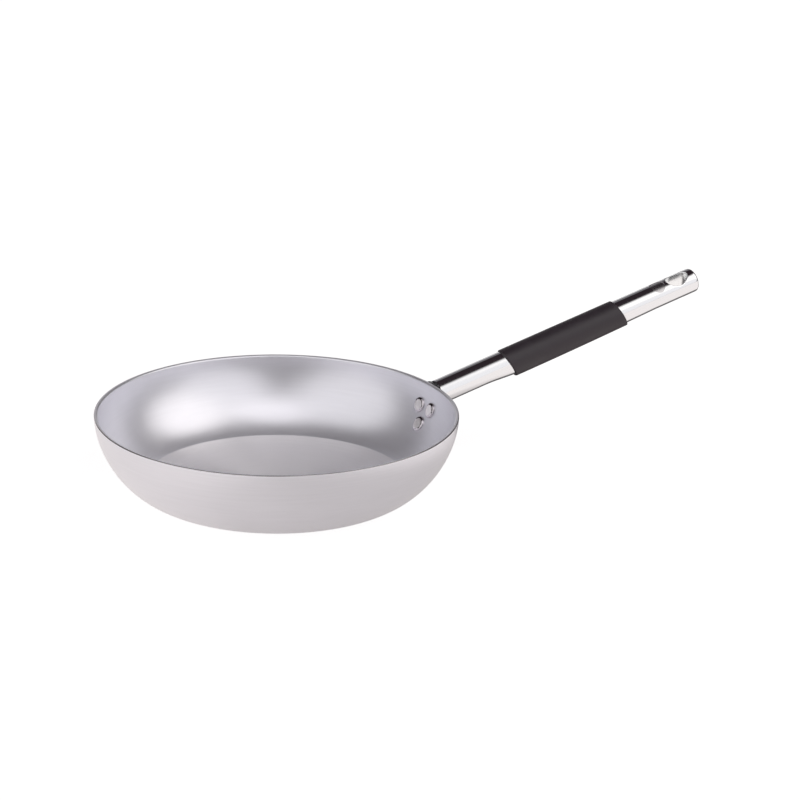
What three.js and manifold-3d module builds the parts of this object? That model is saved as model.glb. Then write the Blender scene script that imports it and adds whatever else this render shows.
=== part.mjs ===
// Sauteuse pan: spun aluminium body, riveted flange, tubular steel handle with a grip sleeve.
// Millimetres, +Z up, origin at the centre of the base underside, handle along +X.
import * as THREE from 'three';
import { mergeVertices } from 'three/addons/utils/BufferGeometryUtils.js';
import Module from 'manifold-3d';

const wasm = await Module();
wasm.setup();

// Fits between pieces
const SEAT_GAP = 0.3;
const SHANK_CLEARANCE = 0.2;
const SLEEVE_FIT = 0.25;

// Pan body
const RIM_RADIUS = 140;
const PAN_HEIGHT = 63.5;
const BASE_RADIUS = 86;
const WALL = 3;
const BASE_REACH = 31;
const RIM_REACH = 26.5;
const RIM_CHAMFER = 0.4;

// Rivets: depths are below the rim, on the outside of the wall
const RIVET_SPACING = 16.6;
const RIVET_UPPER_DEPTH = 19.8;
const RIVET_LOWER_DEPTH = 33;
const RIVET_SHANK_RADIUS = 2.8;
const RIVET_HEAD_RADIUS = 6.1;
const RIVET_HEAD_HEIGHT = 1.7;
const RIVET_HEAD_EDGE = 0.5;
const RIVET_HEAD_FLAT = 4.7;
const RIVET_TAIL_RADIUS = 4.2;
const RIVET_TAIL_HEIGHT = 1.7;
const RIVET_TAIL_EDGE = 0.5;
const RIVET_TAIL_FLAT = 2;

// Flange plate
const FLANGE_THICKNESS = 2;
const FLANGE_WELD_LIP = 1.2;
const FLANGE_SHOULDER_RADIUS = 8.5;
const FLANGE_FOOT_RADIUS = 9;

// Handle tube: lengths run along its axis from the rim's radius, and it is turned to the right round its axis
const HANDLE_TILT = THREE.MathUtils.degToRad(13.6);
const HANDLE_TURN = THREE.MathUtils.degToRad(18);
const HANDLE_DEPTH = 9;
const TUBE_RADIUS = 10;
const TUBE_WALL = 1.5;
const TUBE_LENGTH = 257.5;
const TUBE_END_ROUND = 2.5;
const BELLY_DEPTH = 2;
const BELLY_START = 46;
const BELLY_FULL = 78;
const BELLY_END = 214;

// Solid tip with a hang hole and a plain round stamp, centred from its end
const HANG_HOLE_LENGTH = 19.8;
const HANG_HOLE_WIDTH = 13.8;
const HANG_HOLE_CENTRE = 17.5;
const STAMP_RADIUS = 6.6;
const STAMP_DEPTH = 0.35;
const STAMP_CENTRE = 36.8;
const TIP_SOLID = HANG_HOLE_CENTRE + HANG_HOLE_LENGTH / 2 + TUBE_WALL;

// Grip sleeve
const GRIP_START = 70.8;
const GRIP_LENGTH = 111;
const GRIP_SLANT = 0.37;
const GRIP_WALL_TOP = 0.8;
const GRIP_WALL_SIDE = 1.2;
const GRIP_WALL_UNDER = 1.65;
const GRIP_EDGE_ROUND = 0.6;

// Facets
const ROUND_STEPS = 96;
const SIDE_STEPS = 10;
const TUBE_SIDES = 28;
const TUBE_STEPS = 30;
const GRIP_STEPS = 12;
const END_STEPS = 4;
const RIVET_STEPS = 20;
const HOLE_STEPS = 28;
const DOME_STEPS = 4;
const CORNER_STEPS = 8;
const OVERCUT = 40;

const materials = {
  aluminium: new THREE.MeshStandardMaterial({ color: 0xbfbec3, roughness: 0.42, metalness: 0.9 }),
  polishedSteel: new THREE.MeshStandardMaterial({ color: 0xd2d4d8, roughness: 0.1, metalness: 1 }),
  rivetSteel: new THREE.MeshStandardMaterial({ color: 0xd9d9db, roughness: 0.25, metalness: 1 }),
  blackRubber: new THREE.MeshStandardMaterial({ color: 0x35363a, roughness: 0.6, metalness: 0 }),
};

// Turns a closed geometry into a solid for the boolean cuts, faces outward.
function solid(geometry) {
  const bare = geometry.clone();
  bare.deleteAttribute('normal');
  bare.deleteAttribute('uv');
  const merged = mergeVertices(bare, 1e-4);
  const index = Array.from(merged.index.array);
  const faces = [];
  for (let i = 0; i < index.length; i += 3) {
    const [a, b, c] = index.slice(i, i + 3);
    if (a !== b && b !== c && c !== a) faces.push(a, b, c);
  }
  const make = (order) => new wasm.Manifold(new wasm.Mesh({
    numProp: 3,
    vertProperties: new Float32Array(merged.attributes.position.array),
    triVerts: new Uint32Array(order),
  }));
  const body = make(faces);
  return body.volume() < 0 ? make(faces.reverse()) : body;
}

// Turns a solid back into a geometry.
function geometryOf(body) {
  const mesh = body.getMesh();
  const geometry = new THREE.BufferGeometry();
  geometry.setAttribute('position', new THREE.BufferAttribute(new Float32Array(mesh.vertProperties), 3));
  geometry.setIndex(new THREE.BufferAttribute(new Uint32Array(mesh.triVerts), 1));
  geometry.computeVertexNormals();
  return geometry;
}

// Revolves a profile of (radius, height) points about Z.
function revolve(points, steps) {
  return new THREE.LatheGeometry(points, steps).rotateX(Math.PI / 2);
}

// Skins a row of closed rings and closes both ends.
function loft(rings) {
  const sides = rings[0].length;
  const points = rings.flat();
  const faces = [];
  for (let r = 0; r < rings.length - 1; r += 1) {
    for (let i = 0; i < sides; i += 1) {
      const a = r * sides + i;
      const b = r * sides + (i + 1) % sides;
      faces.push(a, b, b + sides, a, b + sides, a + sides);
    }
  }
  const last = (rings.length - 1) * sides;
  for (let i = 1; i < sides - 1; i += 1) {
    faces.push(0, i + 1, i);
    faces.push(last, last + i, last + i + 1);
  }
  const geometry = new THREE.BufferGeometry().setFromPoints(points);
  geometry.setIndex(faces);
  return geometry;
}

// Outer side of the pan, from the flat base to the rim.
const sideCurve = new THREE.CubicBezierCurve(
  new THREE.Vector2(BASE_RADIUS, 0),
  new THREE.Vector2(BASE_RADIUS + BASE_REACH, 0),
  new THREE.Vector2(RIM_RADIUS, PAN_HEIGHT - RIM_REACH),
  new THREE.Vector2(RIM_RADIUS, PAN_HEIGHT),
);

// A point of the side, moved outward along its normal.
function sidePoint(t, offset) {
  const point = sideCurve.getPoint(t);
  const tangent = sideCurve.getTangent(t);
  return new THREE.Vector2(point.x + tangent.y * offset, point.y - tangent.x * offset);
}

// The whole side, moved outward along its normal.
function sidePoints(offset) {
  return Array.from({ length: SIDE_STEPS + 1 }, (_, i) => sidePoint(i / SIDE_STEPS, offset));
}

// Place on the side curve at a depth below the rim.
function sideAtDepth(depth) {
  let low = 0;
  let high = 1;
  while (high - low > 1e-6) {
    const middle = (low + high) / 2;
    if (sideCurve.getPoint(middle).y < PAN_HEIGHT - depth) low = middle;
    else high = middle;
  }
  return low;
}

// Ring of revolution between two offsets of the side.
function sideShell(inner, outer) {
  const profile = [...sidePoints(outer), ...sidePoints(inner).reverse()];
  return revolve([...profile, profile[0]], ROUND_STEPS);
}

// Everything nearer the pan's axis than an offset of the side.
function sideCore(offset) {
  const side = sidePoints(offset);
  const floor = side[0].y;
  const ceiling = PAN_HEIGHT + OVERCUT;
  const top = new THREE.Vector2(RIM_RADIUS + offset, ceiling);
  return revolve([new THREE.Vector2(0, floor), ...side, top, new THREE.Vector2(0, ceiling)], ROUND_STEPS);
}

const FLANGE_OUTSIDE = SEAT_GAP + FLANGE_THICKNESS;

// A rivet's name, place on the wall and the turn that points its shank out of the pan.
function rivetSeat(name, depth, across) {
  const t = sideAtDepth(depth);
  const point = sideCurve.getPoint(t);
  const tangent = sideCurve.getTangent(t);
  const bearing = Math.asin(across / point.x);
  const radial = new THREE.Vector3(Math.cos(bearing), Math.sin(bearing), 0);
  const outward = radial.clone().multiplyScalar(tangent.y).setZ(-tangent.x);
  const position = radial.clone().multiplyScalar(point.x).setZ(point.y);
  const quaternion = new THREE.Quaternion().setFromUnitVectors(new THREE.Vector3(0, 0, 1), outward);
  const matrix = new THREE.Matrix4().compose(position, quaternion, new THREE.Vector3(1, 1, 1));
  return { name, position, quaternion, matrix };
}

const rivetSeats = [
  rivetSeat('rivet_upper_left', RIVET_UPPER_DEPTH, RIVET_SPACING / 2),
  rivetSeat('rivet_upper_right', RIVET_UPPER_DEPTH, -RIVET_SPACING / 2),
  rivetSeat('rivet_lower', RIVET_LOWER_DEPTH, 0),
];

// Round bar along a rivet's axis, in its own frame.
function rivetBar(radius, from, to) {
  const bar = new THREE.CylinderGeometry(radius, radius, to - from, RIVET_STEPS).rotateX(Math.PI / 2);
  return bar.translate(0, 0, (from + to) / 2);
}

// Cuts the rivet holes through a piece in the pan's frame.
function drillForRivets(body) {
  const reach = WALL + FLANGE_OUTSIDE;
  return rivetSeats.reduce((rest, seat) => {
    const drill = rivetBar(RIVET_SHANK_RADIUS + SHANK_CLEARANCE, -reach, reach).applyMatrix4(seat.matrix);
    return rest.subtract(solid(drill));
  }, body);
}

function panBody() {
  const outside = sidePoints(0).slice(0, -1);
  const inside = sidePoints(-WALL).slice(0, -1).reverse();
  const innerRim = RIM_RADIUS - WALL;
  const chamferFoot = PAN_HEIGHT - RIM_CHAMFER;
  const rim = [
    new THREE.Vector2(RIM_RADIUS, chamferFoot),
    new THREE.Vector2(RIM_RADIUS - RIM_CHAMFER, PAN_HEIGHT),
    new THREE.Vector2(innerRim + RIM_CHAMFER, PAN_HEIGHT),
    new THREE.Vector2(innerRim, chamferFoot),
  ];
  const centre = [new THREE.Vector2(0, 0), new THREE.Vector2(0, WALL)];
  const bowl = revolve([centre[0], ...outside, ...rim, ...inside, centre[1]], ROUND_STEPS);
  return geometryOf(drillForRivets(solid(bowl)));
}

// Low round head with a flat crown: radius, edge and crown measured from its seat.
function domeProfile(radius, edge, crown, flat, seat, foot) {
  const points = [new THREE.Vector2(0, foot), new THREE.Vector2(radius, foot)];
  for (let i = 0; i <= DOME_STEPS; i += 1) {
    const angle = (i / DOME_STEPS) * (Math.PI / 2);
    const out = flat + (radius - flat) * Math.cos(angle);
    points.push(new THREE.Vector2(out, seat + edge + (crown - edge) * Math.sin(angle)));
  }
  points.push(new THREE.Vector2(0, seat + crown));
  return points;
}

function rivet(seat) {
  const head = revolve(domeProfile(RIVET_HEAD_RADIUS, RIVET_HEAD_EDGE, RIVET_HEAD_HEIGHT, RIVET_HEAD_FLAT,
    WALL + SEAT_GAP, WALL / 2), RIVET_STEPS).rotateX(Math.PI);
  const tail = revolve(domeProfile(RIVET_TAIL_RADIUS, RIVET_TAIL_EDGE, RIVET_TAIL_HEIGHT, RIVET_TAIL_FLAT,
    FLANGE_OUTSIDE + SEAT_GAP, FLANGE_OUTSIDE / 2), RIVET_STEPS);
  const shankStart = -WALL - RIVET_HEAD_HEIGHT / 2;
  const shankEnd = FLANGE_OUTSIDE + RIVET_TAIL_HEIGHT / 2;
  const shank = rivetBar(RIVET_SHANK_RADIUS, shankStart, shankEnd);
  const gripped = sideShell(-WALL - SEAT_GAP, FLANGE_OUTSIDE + SEAT_GAP);
  gripped.applyMatrix4(seat.matrix.clone().invert());
  const ends = solid(head).add(solid(tail)).subtract(solid(gripped));
  return geometryOf(ends.add(solid(shank)));
}

// Height of the tube's axis where it meets the outside of the flange.
const TUBE_SEAT_HEIGHT = PAN_HEIGHT - HANDLE_DEPTH + FLANGE_OUTSIDE * Math.tan(HANDLE_TILT);

// Outline drawn tight round a ring of circles, each given counter-clockwise as centre and radius.
function wrapCircles(circles) {
  const turns = circles.map((circle, i) => {
    const next = circles[(i + 1) % circles.length];
    const along = next.centre.clone().sub(circle.centre);
    return along.angle() - Math.acos((circle.radius - next.radius) / along.length());
  });
  const shape = new THREE.Shape();
  circles.forEach(({ centre, radius }, i) => {
    const from = turns[(i + circles.length - 1) % circles.length];
    shape.absarc(centre.x, centre.y, radius, from, turns[i], false);
  });
  shape.closePath();
  return shape;
}

// Shield outline seen from outside: round the tube on top, a round ear at each rivet.
function shieldShape() {
  const shoulder = sidePoint(sideAtDepth(RIVET_UPPER_DEPTH), FLANGE_OUTSIDE).y;
  const foot = sidePoint(sideAtDepth(RIVET_LOWER_DEPTH), FLANGE_OUTSIDE).y;
  const half = RIVET_SPACING / 2;
  return wrapCircles([
    { centre: new THREE.Vector2(0, TUBE_SEAT_HEIGHT), radius: TUBE_RADIUS + FLANGE_WELD_LIP },
    { centre: new THREE.Vector2(-half, shoulder), radius: FLANGE_SHOULDER_RADIUS },
    { centre: new THREE.Vector2(0, foot), radius: FLANGE_FOOT_RADIUS },
    { centre: new THREE.Vector2(half, shoulder), radius: FLANGE_SHOULDER_RADIUS },
  ]);
}

function handleFlange() {
  const plate = sideShell(SEAT_GAP, FLANGE_OUTSIDE);
  const length = RIM_RADIUS + OVERCUT;
  const settings = { depth: length, bevelEnabled: false, curveSegments: CORNER_STEPS };
  const outline = new THREE.ExtrudeGeometry(shieldShape(), settings);
  const toFrame = new THREE.Matrix4().makeBasis(
    new THREE.Vector3(0, 1, 0), new THREE.Vector3(0, 0, 1), new THREE.Vector3(1, 0, 0));
  return geometryOf(drillForRivets(solid(plate).intersect(solid(outline.applyMatrix4(toFrame)))));
}

// How far the belly is out at a place along the tube, from 0 to 1.
function bellyShare(along) {
  const rise = THREE.MathUtils.smoothstep(along, BELLY_START, BELLY_FULL);
  const fade = THREE.MathUtils.clamp((along - BELLY_FULL) / (BELLY_END - BELLY_FULL), 0, 1);
  return rise * (1 - fade * fade);
}

// Cross-section of the tube: round, with a belly below under the grip.
function tubeSection(along) {
  return { halfWidth: TUBE_RADIUS, rise: TUBE_RADIUS, depth: TUBE_RADIUS + BELLY_DEPTH * bellyShare(along) };
}

// A section made larger, by a share of its own for the top, the sides and the underside.
function grown(section, top, side, under) {
  return {
    halfWidth: section.halfWidth + side,
    rise: section.rise + top,
    depth: section.depth + under,
  };
}

// Ring of points round a section, sheared along the tube by the slant of the turned handle.
function sectionRing(section, along, slant = 0) {
  return Array.from({ length: TUBE_SIDES }, (_, i) => {
    const angle = (i / TUBE_SIDES) * 2 * Math.PI;
    const height = Math.sin(angle) > 0 ? section.rise : section.depth;
    const up = height * Math.sin(angle);
    const across = section.halfWidth * Math.cos(angle);
    const rise = up * Math.cos(HANDLE_TURN) - across * Math.sin(HANDLE_TURN);
    return new THREE.Vector3(along - slant * rise, across, up);
  });
}

// Skin of the tube moved inward by an inset, from a start to a rounded far end.
function tubeSkin(inset, start, end = TUBE_LENGTH - inset) {
  const round = TUBE_END_ROUND - Math.max(inset, 0);
  const rings = [];
  for (let i = 0; i <= TUBE_STEPS; i += 1) {
    const along = THREE.MathUtils.lerp(start, end - round, i / TUBE_STEPS);
    rings.push(sectionRing(grown(tubeSection(along), -inset, -inset, -inset), along));
  }
  for (let i = 1; i <= END_STEPS; i += 1) {
    const angle = (i / END_STEPS) * (Math.PI / 2);
    const along = end - round + round * Math.sin(angle);
    const shrink = -inset - round * (1 - Math.cos(angle));
    rings.push(sectionRing(grown(tubeSection(along), shrink, shrink, shrink), along));
  }
  return loft(rings);
}

// Oval bar through the tube for the hang hole.
function hangHole() {
  const oval = new THREE.Shape();
  oval.absellipse(0, 0, HANG_HOLE_LENGTH / 2, HANG_HOLE_WIDTH / 2, 0, 2 * Math.PI);
  const height = 2 * (TUBE_RADIUS + OVERCUT);
  const settings = { depth: height, bevelEnabled: false, curveSegments: HOLE_STEPS };
  const bar = new THREE.ExtrudeGeometry(oval, settings);
  return bar.translate(TUBE_LENGTH - HANG_HOLE_CENTRE, 0, -height / 2).rotateX(HANDLE_TURN);
}

// Place of the handle in the pan's frame: its axis meets the rim's radius below the rim.
const handle = new THREE.Group();
handle.name = 'handle';
handle.position.set(RIM_RADIUS, 0, PAN_HEIGHT - HANDLE_DEPTH);
handle.rotation.y = -HANDLE_TILT;
handle.updateMatrixWorld(true);
const toHandle = handle.matrixWorld.clone().invert();

// Plain round stamp on the upper side, sunk evenly under the tube's skin.
function stampRecess() {
  const punch = new THREE.CylinderGeometry(STAMP_RADIUS, STAMP_RADIUS, TUBE_RADIUS + OVERCUT, HOLE_STEPS);
  punch.rotateX(Math.PI / 2).translate(TUBE_LENGTH - STAMP_CENTRE, 0, (TUBE_RADIUS + OVERCUT) / 2);
  punch.rotateX(HANDLE_TURN);
  return solid(punch).subtract(solid(tubeSkin(STAMP_DEPTH, 0)));
}

function handleTube() {
  const outside = solid(tubeSkin(0, -OVERCUT));
  const hollow = solid(tubeSkin(TUBE_WALL, -OVERCUT - TUBE_WALL, TUBE_LENGTH - TIP_SOLID));
  const panSide = solid(sideCore(FLANGE_OUTSIDE + SEAT_GAP).applyMatrix4(toHandle));
  const tailReach = FLANGE_OUTSIDE + 2 * SEAT_GAP + RIVET_TAIL_HEIGHT;
  const tails = rivetSeats.map((seat) => {
    const pocket = rivetBar(RIVET_TAIL_RADIUS + SEAT_GAP, 0, tailReach).applyMatrix4(seat.matrix);
    return solid(pocket.applyMatrix4(toHandle));
  });
  const cuts = [hollow, panSide, solid(hangHole()), stampRecess(), ...tails];
  return geometryOf(cuts.reduce((rest, cut) => rest.subtract(cut), outside));
}

// Outside of the sleeve, with slanted ends and eased edges.
function gripSkin() {
  const rings = [];
  for (let i = 0; i <= GRIP_STEPS; i += 1) {
    const along = GRIP_START + GRIP_LENGTH * (i / GRIP_STEPS);
    const fit = SLEEVE_FIT - (i === 0 || i === GRIP_STEPS ? GRIP_EDGE_ROUND : 0);
    const [top, side, under] = [GRIP_WALL_TOP, GRIP_WALL_SIDE, GRIP_WALL_UNDER].map((wall) => fit + wall);
    rings.push(sectionRing(grown(tubeSection(along), top, side, under), along, GRIP_SLANT));
  }
  return loft(rings);
}

function gripSleeve() {
  const bore = tubeSkin(-SLEEVE_FIT, -OVERCUT);
  return geometryOf(solid(gripSkin()).subtract(solid(bore)));
}

// A named piece of the assembly.
function piece(name, geometry, material) {
  const mesh = new THREE.Mesh(geometry, material);
  mesh.name = name;
  return mesh;
}

const pan = new THREE.Group();
pan.name = 'sauteuse_pan';
pan.add(piece('pan_body', panBody(), materials.aluminium));
pan.add(piece('handle_flange', handleFlange(), materials.polishedSteel));
for (const seat of rivetSeats) {
  const mesh = piece(seat.name, rivet(seat), materials.rivetSteel);
  mesh.position.copy(seat.position);
  mesh.quaternion.copy(seat.quaternion);
  pan.add(mesh);
}
handle.add(piece('handle_tube', handleTube(), materials.polishedSteel));
handle.add(piece('grip_sleeve', gripSleeve(), materials.blackRubber));
pan.add(handle);

export default pan;
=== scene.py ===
"""Sauteuse pan: a turned aluminium bowl, a riveted shield flange and a polished tube handle with a sleeve.

Metres, +Z up, origin at the centre of the base's underside, handle along +X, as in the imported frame.
"""

import logging
import math
from collections.abc import Callable, Iterable, Sequence
from dataclasses import dataclass
from enum import Enum

import bmesh
import bpy
from bmesh.types import BMEdge, BMesh, BMFace, BMVert
from bpy.types import Material, NodeOutputs, NodeSocket, NodeTree, Object
from mathutils import Matrix, Vector

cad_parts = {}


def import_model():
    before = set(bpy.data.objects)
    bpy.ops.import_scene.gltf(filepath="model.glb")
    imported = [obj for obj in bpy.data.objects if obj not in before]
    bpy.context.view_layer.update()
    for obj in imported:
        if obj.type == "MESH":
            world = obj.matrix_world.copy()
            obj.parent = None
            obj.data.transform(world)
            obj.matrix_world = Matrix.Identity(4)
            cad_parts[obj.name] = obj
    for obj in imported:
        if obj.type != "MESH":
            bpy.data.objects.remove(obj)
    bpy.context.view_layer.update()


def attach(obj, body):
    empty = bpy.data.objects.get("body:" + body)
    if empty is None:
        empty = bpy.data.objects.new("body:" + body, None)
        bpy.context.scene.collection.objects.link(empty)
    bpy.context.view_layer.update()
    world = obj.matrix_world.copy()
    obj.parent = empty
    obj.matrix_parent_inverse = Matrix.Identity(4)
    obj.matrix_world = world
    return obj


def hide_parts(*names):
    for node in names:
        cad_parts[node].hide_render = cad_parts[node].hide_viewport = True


LOG = logging.getLogger("sauteuse_pan")
MM = 0.001
FULL_TURN = 2 * math.pi
RIGHT_ANGLE = math.pi / 2
QUARTER_TURN = 0.25
VIEW_BEARING = math.radians(31.0)
WELD = 0.001 * MM
EDGE_SLACK = 0.01 * MM
BISECT_STEPS = 40
ROUND_PROFILE = 0.5
UP = Vector((0, 0, 1))
ACROSS = Vector((0, 1, 0))
WHITE = (1.0, 1.0, 1.0, 1.0)
BODY = "root"

Colour = tuple[float, float, float, float]
Ring = tuple[float, float]
Given = NodeSocket | float | Sequence[float]


class Slot(Enum):
    """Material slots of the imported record."""

    ALUMINIUM = "aluminium"
    POLISHED_STEEL = "polished_steel"
    RIVET_STEEL = "rivet_steel"
    BLACK_RUBBER = "black_rubber"


# Node helpers


class NodeSheet:
    """Adds and joins the nodes of one tree."""

    def __init__(self, tree: NodeTree) -> None:
        """Keeps the tree that the nodes go into."""
        self.tree = tree

    def feed(self, target: NodeSocket, value: Given) -> None:
        """Gives an input either another node's output or a plain value.

        Args:
            target: The input.
            value: The output or the value.
        """
        if isinstance(value, NodeSocket):
            self.tree.links.new(value, target)
        else:
            target.default_value = value

    def put(self, kind: str, *values: Given, **options: object) -> NodeOutputs:
        """Adds a node, sets its options and fills its open inputs in order.

        Args:
            kind: Blender's name of the node type.
            values: Values or outputs for the first inputs.
            options: Option names and their values.

        Returns:
            The node's outputs.
        """
        node = self.tree.nodes.new(kind)
        for option, value in options.items():
            setattr(node, option, value)
        inputs = [target for target in node.inputs if target.enabled]
        for target, value in zip(inputs, values):
            self.feed(target, value)
        return node.outputs

    def math(self, operation: str, first: Given, second: Given) -> NodeSocket:
        """Works out a sum of two values or outputs."""
        return self.put("ShaderNodeMath", first, second, operation=operation)["Value"]

    def vector(self, operation: str, *values: Given, output: str = "Vector") -> NodeSocket:
        """Works out a sum of vectors; some sums give their result as a plain value."""
        return self.put("ShaderNodeVectorMath", *values, operation=operation)[output]

    def split(self, vector: NodeSocket) -> NodeOutputs:
        """Splits a vector into X, Y and Z."""
        return self.put("ShaderNodeSeparateXYZ", vector)

    def blend(self, share: NodeSocket, first: Given, second: Given) -> NodeSocket:
        """Mixes two colours: the first at a share of 0 and the second at 1."""
        return self.put("ShaderNodeMix", share, first, second, data_type="RGBA")["Result"]

    def spread(self, value: NodeSocket, low: float, high: float,
               start: float = 0.0, end: float = 1.0) -> NodeSocket:
        """Maps a value smoothly from one range to another.

        Args:
            value: The output to map.
            low: Where the range starts.
            high: Where the range ends.
            start: The result at the start.
            end: The result at the end.

        Returns:
            The mapped output.
        """
        ranges = (low, high, start, end)
        return self.put("ShaderNodeMapRange", value, *ranges, interpolation_type="SMOOTHSTEP")["Result"]

    def noise(self, vector: NodeSocket, scale: Given, detail: float, finer: float = 0.5) -> NodeSocket:
        """Draws noise with so many features to a metre, so many finer layers and their strength."""
        return self.put("ShaderNodeTexNoise", vector, scale, detail, finer)["Fac"]


class Coat(NodeSheet):
    """The nodes of a material with one shader, on the object's own coordinates."""

    def __init__(self, material: Material) -> None:
        """Finds the material's shader and adds the coordinates.

        Args:
            material: The material, which has its first nodes.
        """
        super().__init__(material.node_tree)
        self.shader = self.tree.nodes["Principled BSDF"]
        self.place = self.put("ShaderNodeTexCoord")["Object"]

    def give(self, name: str, value: Given) -> None:
        """Gives one of the shader's inputs a value or an output."""
        self.feed(self.shader.inputs[name], value)

    def bump(self, height: NodeSocket, depth: float) -> None:
        """Raises the surface by a height pattern.

        Args:
            height: The pattern's output.
            depth: How far the pattern stands out, in metres.
        """
        node = self.tree.nodes.new("ShaderNodeBump")
        self.feed(node.inputs["Distance"], depth)
        self.feed(node.inputs["Height"], height)
        self.give("Normal", node.outputs["Normal"])

    def brush(self, strength: float) -> None:
        """Stretches the gloss across lines that run round the Z axis.

        Args:
            strength: How much it is stretched, from 0 to 1.
        """
        self.give("Tangent", self.put("ShaderNodeTangent", direction_type="RADIAL", axis="Z")["Tangent"])
        self.give("Anisotropic", strength)
        self.give("Anisotropic Rotation", QUARTER_TURN)


# Shared surface effects


@dataclass(frozen=True)
class Effect:
    """A node group that gives one value, built once and used in several materials."""

    name: str
    output: str
    inputs: tuple[str, ...] = ("Scale",)

    def on(self, coat: Coat, *values: float) -> NodeSocket:
        """Puts the effect in a material, with a value for each of its inputs, and gives its result."""
        tree = bpy.data.node_groups.get(self.name) or self.build()
        return coat.put("ShaderNodeGroup", coat.place, *values, node_tree=tree)[self.output]

    def build(self) -> NodeTree:
        """Makes the group's tree, its sockets and its nodes.

        Returns:
            The tree.
        """
        tree = bpy.data.node_groups.new(self.name, "ShaderNodeTree")
        tree.interface.new_socket("Vector", in_out="INPUT", socket_type="NodeSocketVector")
        for name in self.inputs:
            tree.interface.new_socket(name, in_out="INPUT", socket_type="NodeSocketFloat")
        tree.interface.new_socket(self.output, in_out="OUTPUT", socket_type="NodeSocketFloat")
        sheet = NodeSheet(tree)
        place, *given = sheet.put("NodeGroupInput")[:len(self.inputs) + 1]
        sheet.put("NodeGroupOutput", self.draw(sheet, place, *given))
        return tree

    def draw(self, sheet: NodeSheet, place: NodeSocket, *given: NodeSocket) -> NodeSocket:
        """Draws the effect's nodes; each effect has its own."""
        raise NotImplementedError


@dataclass(frozen=True)
class TurningLines(Effect):
    """Fine lines that run round the Z axis, as a lathe tool or a polishing pad leaves them."""

    detail: float = 3.0
    finer: float = 0.6

    def draw(self, sheet: NodeSheet, place: NodeSocket,
             lines: NodeSocket, breaks: NodeSocket) -> NodeSocket:
        """Draws noise that is fine along the side and long round the axis.

        Args:
            sheet: The group's nodes.
            place: The coordinates.
            lines: How many lines there are to a metre.
            breaks: How often they break on the way round.

        Returns:
            The height of the lines.
        """
        flat = sheet.vector("MULTIPLY", place, (1.0, 1.0, 0.0))
        out = sheet.vector("LENGTH", flat, output="Value")
        along = sheet.math("SUBTRACT", out, sheet.split(place)["Z"])
        around = sheet.split(sheet.vector("NORMALIZE", flat))
        scaled = ((along, lines), (around["X"], breaks), (around["Y"], breaks))
        lined = sheet.put("ShaderNodeCombineXYZ", *(sheet.math("MULTIPLY", *pair) for pair in scaled))
        return sheet.noise(lined["Vector"], 1.0, self.detail, self.finer)


@dataclass(frozen=True)
class HandSmudges(Effect):
    """Soft uneven patches, as wiping and handling leave on bare metal."""

    broad_share: float = 0.7
    broad_detail: float = 2.0
    fine_scale: float = 7.0
    fine_detail: float = 3.0
    finer: float = 0.6
    clean: float = 0.35
    smeared: float = 0.65

    def draw(self, sheet: NodeSheet, place: NodeSocket, scale: NodeSocket) -> NodeSocket:
        """Draws broad patches broken up by finer ones.

        Args:
            sheet: The group's nodes.
            place: The coordinates.
            scale: How many broad patches there are to a metre.

        Returns:
            The mask of the patches.
        """
        broad = sheet.noise(place, scale, self.broad_detail)
        small = sheet.math("MULTIPLY", scale, self.fine_scale)
        fine = sheet.noise(place, small, self.fine_detail, self.finer)
        broad = sheet.math("MULTIPLY", broad, self.broad_share)
        fine = sheet.math("MULTIPLY", fine, 1.0 - self.broad_share)
        return sheet.spread(sheet.math("ADD", broad, fine), self.clean, self.smeared)


@dataclass(frozen=True)
class EdgeWear(Effect):
    """The outward edges, where handling rubs a surface bright or smooth."""

    dull: float = 0.52
    rubbed: float = 0.62
    patch_low: float = 0.3
    patch_high: float = 0.7
    patch_least: float = 0.4
    detail: float = 3.0

    def draw(self, sheet: NodeSheet, place: NodeSocket, scale: NodeSocket) -> NodeSocket:
        """Finds the edges and breaks them up.

        Args:
            sheet: The group's nodes.
            place: The coordinates.
            scale: How many patches there are to a metre.

        Returns:
            The mask of the edges.
        """
        pointed = sheet.put("ShaderNodeNewGeometry")["Pointiness"]
        edge = sheet.spread(pointed, self.dull, self.rubbed)
        broken = sheet.noise(place, scale, self.detail)
        patchy = sheet.spread(broken, self.patch_low, self.patch_high, self.patch_least)
        return sheet.math("MULTIPLY", edge, patchy)


@dataclass(frozen=True)
class FineGrain(Effect):
    """A fine even pebble, as a moulded sleeve or a tumbled rivet has."""

    soft_scale: float = 0.6
    soft_detail: float = 3.0

    def draw(self, sheet: NodeSheet, place: NodeSocket, scale: NodeSocket) -> NodeSocket:
        """Draws round pebbles over a softer noise.

        Args:
            sheet: The group's nodes.
            place: The coordinates.
            scale: How many pebbles there are to a metre.

        Returns:
            The height of the grain.
        """
        pebble = sheet.put("ShaderNodeTexVoronoi", place, scale, feature="SMOOTH_F1")["Distance"]
        soft = sheet.noise(place, sheet.math("MULTIPLY", scale, self.soft_scale), self.soft_detail)
        return sheet.math("ADD", pebble, soft)


TURNING_LINES = TurningLines("turning_lines", "Height", ("Lines", "Breaks"))
HAND_SMUDGES = HandSmudges("hand_smudges", "Mask")
EDGE_WEAR = EdgeWear("edge_wear", "Mask")
FINE_GRAIN = FineGrain("fine_grain", "Height")


# Finishes


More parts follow.
